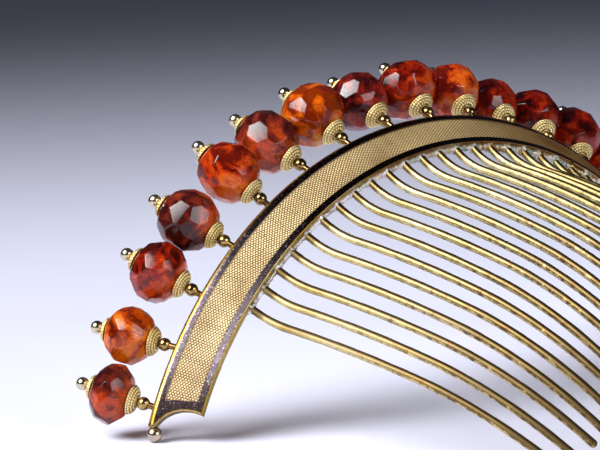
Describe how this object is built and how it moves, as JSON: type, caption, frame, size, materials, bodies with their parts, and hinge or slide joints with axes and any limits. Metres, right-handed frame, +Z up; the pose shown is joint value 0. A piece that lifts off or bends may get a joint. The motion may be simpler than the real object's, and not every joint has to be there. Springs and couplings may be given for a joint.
{
  "type": "hair comb",
  "caption": "Gilt metal hair comb bent to an arch: a bordered band on two ball feet carries a row of faceted stone beads on pins, with long curved wire teeth in front.",
  "frame": {"origin": "centre of the footprint box, on the surface that the comb rests on", "axes": "+X along the comb from one foot to the other, +Y the way the bead pins lean, so the teeth run towards -Y, +Z up"},
  "size_m": [0.1084, 0.0634, 0.043],
  "materials": {
    "gilt_frame": "gilt, polished on the borders and balls, tarnished along the teeth",
    "gilt_cap": "gilt, stamped in ridges and grains",
    "bead_stone": "polished, facet-cut translucent orange to dark red stone"
  },
  "bodies": {
    "root": {"comb_frame": "gilt_frame", "bead_01": "bead_stone", "bead_02": "bead_stone", "bead_03": "bead_stone", "bead_04": "bead_stone", "bead_05": "bead_stone", "bead_06": "bead_stone", "bead_07": "bead_stone", "bead_08": "bead_stone", "bead_09": "bead_stone", "bead_10": "bead_stone", "bead_11": "bead_stone", "bead_12": "bead_stone", "bead_13": "bead_stone", "bead_14": "bead_stone", "bead_15": "bead_stone", "bead_16": "bead_stone", "bead_17": "bead_stone", "lower_cap_01": "gilt_cap", "lower_cap_02": "gilt_cap", "lower_cap_03": "gilt_cap", "lower_cap_04": "gilt_cap", "lower_cap_05": "gilt_cap", "lower_cap_06": "gilt_cap", "lower_cap_07": "gilt_cap", "lower_cap_08": "gilt_cap", "lower_cap_09": "gilt_cap", "lower_cap_10": "gilt_cap", "lower_cap_11": "gilt_cap", "lower_cap_12": "gilt_cap", "lower_cap_13": "gilt_cap", "lower_cap_14": "gilt_cap", "lower_cap_15": "gilt_cap", "lower_cap_16": "gilt_cap", "lower_cap_17": "gilt_cap", "upper_cap_01": "gilt_cap", "upper_cap_02": "gilt_cap", "upper_cap_03": "gilt_cap", "upper_cap_04": "gilt_cap", "upper_cap_05": "gilt_cap", "upper_cap_06": "gilt_cap", "upper_cap_07": "gilt_cap", "upper_cap_08": "gilt_cap", "upper_cap_09": "gilt_cap", "upper_cap_10": "gilt_cap", "upper_cap_11": "gilt_cap", "upper_cap_12": "gilt_cap", "upper_cap_13": "gilt_cap", "upper_cap_14": "gilt_cap", "upper_cap_15": "gilt_cap", "upper_cap_16": "gilt_cap", "upper_cap_17": "gilt_cap"}
  },
  "joints": []
}
